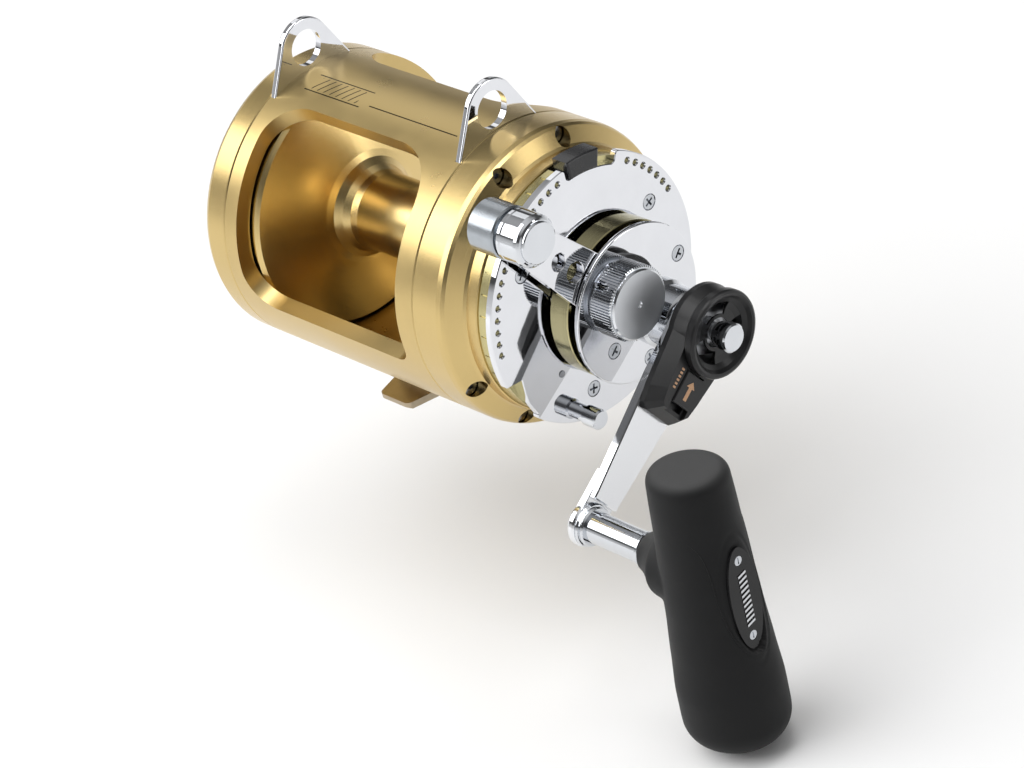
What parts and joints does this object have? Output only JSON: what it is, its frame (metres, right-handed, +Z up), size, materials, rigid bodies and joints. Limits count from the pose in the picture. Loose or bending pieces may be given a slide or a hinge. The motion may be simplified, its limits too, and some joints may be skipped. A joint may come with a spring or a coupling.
{
  "type": "trolling reel",
  "caption": "Two-speed lever-drag big-game reel with an open-window frame, deep spool, chrome drag quadrant, crank arm and ergonomic hand grip.",
  "frame": {"origin": "middle of the underside of the reel foot", "axes": "+X along the spool axis towards the handle, +Y forwards along the rod towards its tip, +Z up from the rod"},
  "size_m": [0.2778, 0.132, 0.2222],
  "materials": {
    "anti_reverse_ratchet": "machined",
    "arm_nut": "machined",
    "badge_screws": "polished",
    "cam_sleeve": "satin",
    "clicker_button": "satin",
    "clicker_pawl": "machined",
    "clicker_ratchet": "bright turned",
    "cover_disc": "polished",
    "detent_pin": "satin",
    "disc_screws": "polished",
    "drag_lever": "polished",
    "drag_washer": "woven, dry",
    "foot_screws": "satin",
    "frame": "satin anodised",
    "gear_cover": "bright anodised",
    "grip": "matt",
    "grip_axle": "polished",
    "grip_badge": "satin",
    "grip_tube": "polished",
    "handle_arm": "polished",
    "handle_shaft": "machined",
    "handle_shaft_bearing": "machined",
    "harness_lugs": "polished",
    "high_gear": "machined",
    "high_pinion": "machined",
    "hub_dish": "satin",
    "index_ring": "bright anodised",
    "keeper_post": "polished",
    "left_cap": "satin anodised",
    "left_plate_screws": "satin",
    "left_side_plate": "satin anodised",
    "left_spool_bearing": "machined",
    "lever_barrel": "satin",
    "lever_cap": "polished",
    "low_gear": "machined",
    "low_pinion": "machined",
    "lower_pawl": "machined",
    "outer_shaft_bearing": "machined",
    "pawl_pins": "machined",
    "preset_knob": "polished",
    "pressure_plate": "satin",
    "quadrant_dowel": "satin",
    "quadrant_plate": "polished",
    "quadrant_screws": "polished",
    "reel_foot": "champagne anodised",
    "release_slider": "satin",
    "right_plate_screws": "satin",
    "right_side_plate": "satin anodised",
    "right_spool_bearing": "machined",
    "shaft_sleeve": "polished",
    "shift_button": "polished",
    "shift_housing": "satin",
    "shift_rod": "machined",
    "shift_spring": "machined",
    "spacer_ring": "bright turned",
    "spool": "turned and polished",
    "spool_shaft": "machined",
    "strike_button": "satin",
    "strike_button_spring": "machined",
    "upper_pawl": "machined"
  },
  "bodies": {
    "housing": {"frame": "frame", "harness_lugs": "harness_lugs", "reel_foot": "reel_foot", "foot_screws": "foot_screws", "left_side_plate": "left_side_plate", "left_plate_screws": "left_plate_screws", "left_cap": "left_cap", "right_side_plate": "right_side_plate", "right_plate_screws": "right_plate_screws", "left_spool_bearing": "left_spool_bearing", "right_spool_bearing": "right_spool_bearing", "outer_shaft_bearing": "outer_shaft_bearing", "handle_shaft_bearing": "handle_shaft_bearing", "gear_cover": "gear_cover", "index_ring": "index_ring", "quadrant_plate": "quadrant_plate", "quadrant_screws": "quadrant_screws", "quadrant_dowel": "quadrant_dowel", "keeper_post": "keeper_post", "spacer_ring": "spacer_ring", "cover_disc": "cover_disc", "disc_screws": "disc_screws", "shaft_sleeve": "shaft_sleeve", "pawl_pins": "pawl_pins", "strike_button_spring": "strike_button_spring"},
    "spool_group": {"spool": "spool", "spool_shaft": "spool_shaft", "drag_washer": "drag_washer", "pressure_plate": "pressure_plate", "clicker_ratchet": "clicker_ratchet", "high_pinion": "high_pinion", "low_pinion": "low_pinion"},
    "crank": {"handle_shaft": "handle_shaft", "high_gear": "high_gear", "anti_reverse_ratchet": "anti_reverse_ratchet", "handle_arm": "handle_arm", "arm_nut": "arm_nut", "shift_housing": "shift_housing", "hub_dish": "hub_dish", "grip_axle": "grip_axle", "grip_tube": "grip_tube", "shift_spring": "shift_spring"},
    "low_gear_wheel": {"low_gear": "low_gear"},
    "grip_body": {"grip": "grip", "grip_badge": "grip_badge", "badge_screws": "badge_screws"},
    "lever": {"drag_lever": "drag_lever", "lever_barrel": "lever_barrel", "lever_cap": "lever_cap", "detent_pin": "detent_pin", "cam_sleeve": "cam_sleeve"},
    "preset": {"preset_knob": "preset_knob"},
    "shifter": {"shift_button": "shift_button", "shift_rod": "shift_rod"},
    "release": {"release_slider": "release_slider"},
    "strike_stop": {"strike_button": "strike_button"},
    "clicker": {"clicker_button": "clicker_button", "clicker_pawl": "clicker_pawl"},
    "pawl_a": {"upper_pawl": "upper_pawl"},
    "pawl_b": {"lower_pawl": "lower_pawl"}
  },
  "joints": [
    {"name": "crank_turn", "type": "hinge", "parent": "housing", "child": "crank", "pos_m": [0.095, 0.0212, 0.042], "axis": [1, 0, 0], "continuous": true},
    {"name": "spool_spin", "type": "hinge", "parent": "housing", "child": "spool_group", "pos_m": [0, 0, 0.062], "axis": [1, 0, 0], "continuous": true},
    {"name": "low_gear_spin", "type": "hinge", "parent": "housing", "child": "low_gear_wheel", "pos_m": [0.0706, 0.0212, 0.042], "axis": [1, 0, 0], "continuous": true},
    {"name": "grip_spin", "type": "hinge", "parent": "crank", "child": "grip_body", "pos_m": [0.165, -0.0494, -0.007], "axis": [1, 0, 0], "continuous": true},
    {"name": "drag_lever_swing", "type": "hinge", "parent": "housing", "child": "lever", "pos_m": [0.0979, 0, 0.062], "axis": [1, 0, 0], "range_deg": [-22, 56]},
    {"name": "preset_knob_turn", "type": "hinge", "parent": "housing", "child": "preset", "pos_m": [0.108, 0, 0.062], "axis": [1, 0, 0], "range_deg": [-150, 150]},
    {"name": "shift_button_press", "type": "slide", "parent": "crank", "child": "shifter", "axis": [-1, 0, 0], "range_m": [0, 0.004], "stiffness_N_per_m": 600, "springref_m": -0.002, "deforming": ["shift_spring"]},
    {"name": "release_slide", "type": "slide", "parent": "crank", "child": "release", "axis": [0, -0.8215, -0.5702], "range_m": [0, 0.003]},
    {"name": "strike_button_press", "type": "slide", "parent": "housing", "child": "strike_stop", "axis": [-1, 0, 0], "range_m": [0, 0.0022], "stiffness_N_per_m": 500, "springref_m": -0.002, "deforming": ["strike_button_spring"]},
    {"name": "clicker_slide", "type": "slide", "parent": "housing", "child": "clicker", "axis": [0, 0, 1], "range_m": [0, 0.003]},
    {"name": "upper_pawl_lift", "type": "hinge", "parent": "housing", "child": "pawl_a", "pos_m": [0.0747, 0.02433, 0.05973], "axis": [1, 0, 0], "range_deg": [-8, 0], "stiffness_Nm_per_rad": 0.004, "springref_deg": 5.73},
    {"name": "lower_pawl_lift", "type": "hinge", "parent": "housing", "child": "pawl_b", "pos_m": [0.0747, 0.00347, 0.03887], "axis": [1, 0, 0], "range_deg": [-8, 0], "stiffness_Nm_per_rad": 0.004, "springref_deg": 5.73}
  ],
  "couplings": [
    {"joint": "spool_spin", "follows": "crank_turn", "ratio": -3.1},
    {"joint": "low_gear_spin", "follows": "crank_turn", "ratio": 2.3846}
  ]
}
